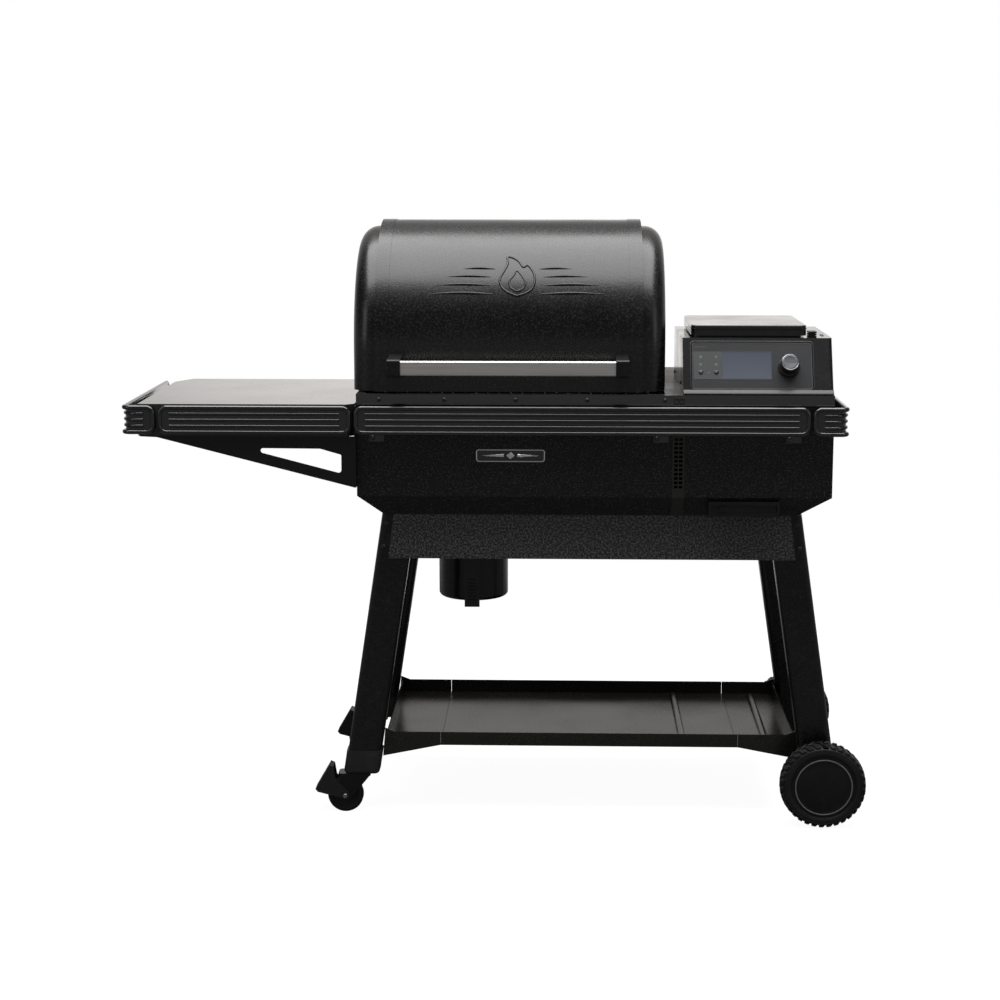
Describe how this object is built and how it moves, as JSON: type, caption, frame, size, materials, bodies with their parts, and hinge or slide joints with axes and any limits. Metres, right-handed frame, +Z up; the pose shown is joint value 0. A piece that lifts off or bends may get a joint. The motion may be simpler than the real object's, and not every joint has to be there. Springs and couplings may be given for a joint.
{
  "type": "pellet smoker grill",
  "caption": "Wheeled wood-pellet smoker grill: round-topped lidded chamber, pellet hopper with tilted control panel, side shelf, rails, splayed legs and a lower shelf.",
  "frame": {"origin": "on the floor under the middle of the whole grill", "axes": "+X to the hopper side (right, seen from the front), +Y to the back, +Z up"},
  "size_m": [1.4979, 0.635, 1.219],
  "materials": {
    "black_enamel": "semi-gloss black powder coat",
    "textured_black": "fine hammered black powder coat",
    "rail_black": "gloss black powder coat",
    "vent_black": "satin olive black",
    "stainless": "brushed stainless steel",
    "chrome": "bright plated",
    "screw_black": "blackened steel",
    "panel_black": "satin moulded plastic",
    "display": "dark tinted display glass",
    "dial_black": "moulded plastic",
    "steel": "mill finish steel",
    "galvanised": "galvanised sheet",
    "iron": "seasoned cast iron",
    "grate_black": "porcelain enamel",
    "cap_plastic": "moulded nylon",
    "tyre_black": "moulded rubber",
    "keg_black": "satin black"
  },
  "bodies": {
    "grill": {"cabinet_shell": "textured_black", "bay_divider": "galvanised", "vent_strip": "vent_black", "badge_plate": "chrome", "front_band": "black_enamel", "front_rail": "rail_black", "shelf_front_rail": "rail_black", "shelf_end_rail": "rail_black", "right_rail": "rail_black", "rail_standoffs": "rail_black", "side_shelf": "black_enamel", "shelf_brackets": "black_enamel", "hinge_brackets": "screw_black", "hopper_housing": "black_enamel", "control_panel": "panel_black", "display_glass": "display", "hopper_catch": "steel", "cleanout_frame": "textured_black", "hopper_bin": "galvanised", "auger_tube": "galvanised", "auger_motor": "iron", "fire_pot": "iron", "igniter_and_probe": "steel", "fan_housing": "galvanised", "heat_shield": "steel", "drip_tray": "steel", "main_grate": "grate_black", "upper_grate": "grate_black", "keg_collar": "keg_black", "left_legs": "textured_black", "right_legs": "textured_black", "frame_aprons": "textured_black", "lower_shelf": "black_enamel", "wheel_axle": "steel", "leg_caps": "cap_plastic", "rear_fittings": "panel_black", "frame_screws": "screw_black"},
    "lid": {"lid_skin": "black_enamel", "lid_end_caps": "black_enamel", "lid_handle_bar": "stainless", "lid_handle_brackets": "textured_black", "lid_hinge_leaves": "screw_black"},
    "hopper_lid": {"hopper_lid": "black_enamel"},
    "dial_shaft": {"dial_shaft": "steel"},
    "dial": {"dial_knob": "dial_black"},
    "left_button": {"left_button": "panel_black"},
    "right_button": {"right_button": "panel_black"},
    "cleanout_gate": {"cleanout_slide": "textured_black"},
    "auger": {"auger_screw": "steel"},
    "fan": {"fan_rotor": "galvanised"},
    "grease_keg": {"grease_keg": "keg_black"},
    "keg_latch": {"keg_latch": "cap_plastic"},
    "front_wheel": {"front_wheel": "tyre_black"},
    "rear_wheel": {"rear_wheel": "tyre_black"},
    "front_caster": {"front_caster_fork": "keg_black"},
    "rear_caster": {"rear_caster_fork": "keg_black"},
    "front_caster_wheel": {"front_caster_wheel": "tyre_black"},
    "rear_caster_wheel": {"rear_caster_wheel": "tyre_black"},
    "front_brake": {"front_brake_lever": "cap_plastic"},
    "rear_brake": {"rear_brake_lever": "cap_plastic"}
  },
  "joints": [
    {"name": "lid_hinge", "type": "hinge", "parent": "grill", "child": "lid", "pos_m": [0.022, 0.264, 0.891], "axis": [-1, 0, 0], "range_deg": [0, 85]},
    {"name": "hopper_lid_hinge", "type": "hinge", "parent": "grill", "child": "hopper_lid", "pos_m": [0.508, 0.06228, 0.9995], "axis": [-1, 0, 0], "range_deg": [0, 90]},
    {"name": "dial_push", "type": "slide", "parent": "grill", "child": "dial_shaft", "axis": [0, 0.891, -0.454], "range_m": [0, 0.0012], "stiffness_N_per_m": 800},
    {"name": "dial_turn", "type": "hinge", "parent": "dial_shaft", "child": "dial", "pos_m": [0.577, -0.23853, 0.93591], "axis": [0, 0.891, -0.454], "continuous": true},
    {"name": "left_button_press", "type": "slide", "parent": "grill", "child": "left_button", "axis": [0, 0.891, -0.454], "range_m": [0, 0.001], "stiffness_N_per_m": 600},
    {"name": "right_button_press", "type": "slide", "parent": "grill", "child": "right_button", "axis": [0, 0.891, -0.454], "range_m": [0, 0.001], "stiffness_N_per_m": 600},
    {"name": "cleanout_gate_slide", "type": "slide", "parent": "grill", "child": "cleanout_gate", "axis": [1, 0, 0], "range_m": [0, 0.045]},
    {"name": "auger_turn", "type": "hinge", "parent": "grill", "child": "auger", "pos_m": [0.3, 0, 0.697], "axis": [1, 0, 0], "continuous": true},
    {"name": "fan_turn", "type": "hinge", "parent": "grill", "child": "fan", "pos_m": [0.4375, 0.14, 0.737], "axis": [0, 1, 0], "continuous": true},
    {"name": "keg_drop", "type": "slide", "parent": "grill", "child": "grease_keg", "axis": [0, 0, -1], "range_m": [0, 0.12]},
    {"name": "keg_latch_swing", "type": "hinge", "parent": "grill", "child": "keg_latch", "pos_m": [-0.0585, -0.1325, 0.609], "axis": [-1, 0, 0], "range_deg": [0, 40]},
    {"name": "front_wheel_roll", "type": "hinge", "parent": "grill", "child": "front_wheel", "pos_m": [0.661, -0.281, 0.088], "axis": [0, 1, 0], "continuous": true},
    {"name": "rear_wheel_roll", "type": "hinge", "parent": "grill", "child": "rear_wheel", "pos_m": [0.661, 0.281, 0.088], "axis": [0, 1, 0], "continuous": true},
    {"name": "front_caster_swivel", "type": "hinge", "parent": "grill", "child": "front_caster", "pos_m": [-0.28503, -0.212, 0.08], "axis": [0, 0, 1], "continuous": true},
    {"name": "front_caster_roll", "type": "hinge", "parent": "front_caster", "child": "front_caster_wheel", "pos_m": [-0.31953, -0.212, 0.037], "axis": [0, 1, 0], "continuous": true},
    {"name": "front_brake_press", "type": "hinge", "parent": "front_caster", "child": "front_brake", "pos_m": [-0.31953, -0.212, 0.037], "axis": [0, -1, 0], "range_deg": [0, 12]},
    {"name": "rear_caster_swivel", "type": "hinge", "parent": "grill", "child": "rear_caster", "pos_m": [-0.28503, 0.212, 0.08], "axis": [0, 0, 1], "continuous": true},
    {"name": "rear_caster_roll", "type": "hinge", "parent": "rear_caster", "child": "rear_caster_wheel", "pos_m": [-0.31953, 0.212, 0.037], "axis": [0, 1, 0], "continuous": true},
    {"name": "rear_brake_press", "type": "hinge", "parent": "rear_caster", "child": "rear_brake", "pos_m": [-0.31953, 0.212, 0.037], "axis": [0, -1, 0], "range_deg": [0, 12]}
  ]
}
